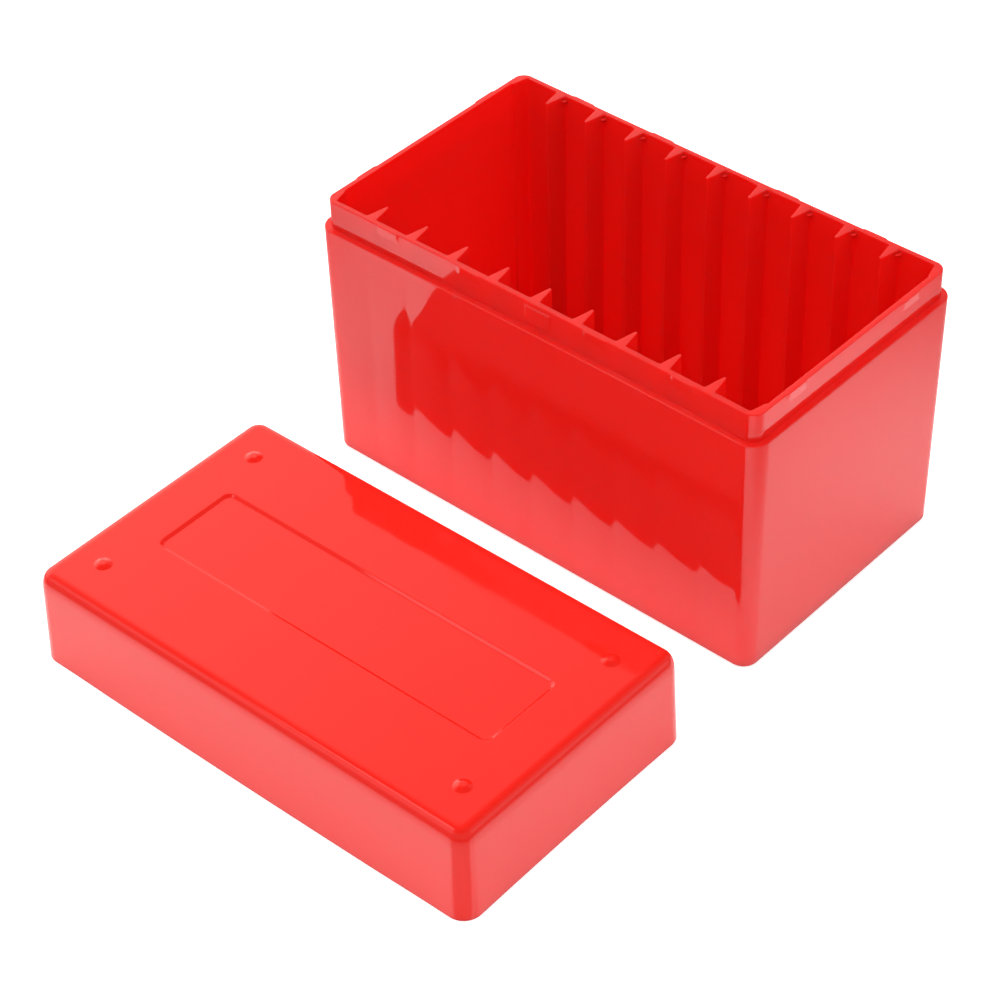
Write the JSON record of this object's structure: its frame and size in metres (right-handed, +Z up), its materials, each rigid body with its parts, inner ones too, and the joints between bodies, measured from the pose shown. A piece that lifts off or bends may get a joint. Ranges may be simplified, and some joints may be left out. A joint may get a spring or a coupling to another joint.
{
  "type": "storage case",
  "caption": "Open-topped plastic storage case with ribbed slots for flat coin holders, and its lift-off lid lying mouth down beside it.",
  "frame": {"origin": "middle of the underside of the case base, on the surface that the base and the lid stand on", "axes": "+Z up, +X along the row of slots, and -Y toward the lid that lies in front of the base"},
  "size_m": [0.1283, 0.1676, 0.0714],
  "materials": {
    "red_plastic": "gloss"
  },
  "bodies": {
    "base": {"case_base": "red_plastic"},
    "lid": {"case_lid": "red_plastic"}
  },
  "joints": [
    {"name": "lid_lift", "type": "slide", "parent": "base", "child": "lid", "axis": [0, 0, 1], "range_m": [0, 0.08]}
  ]
}
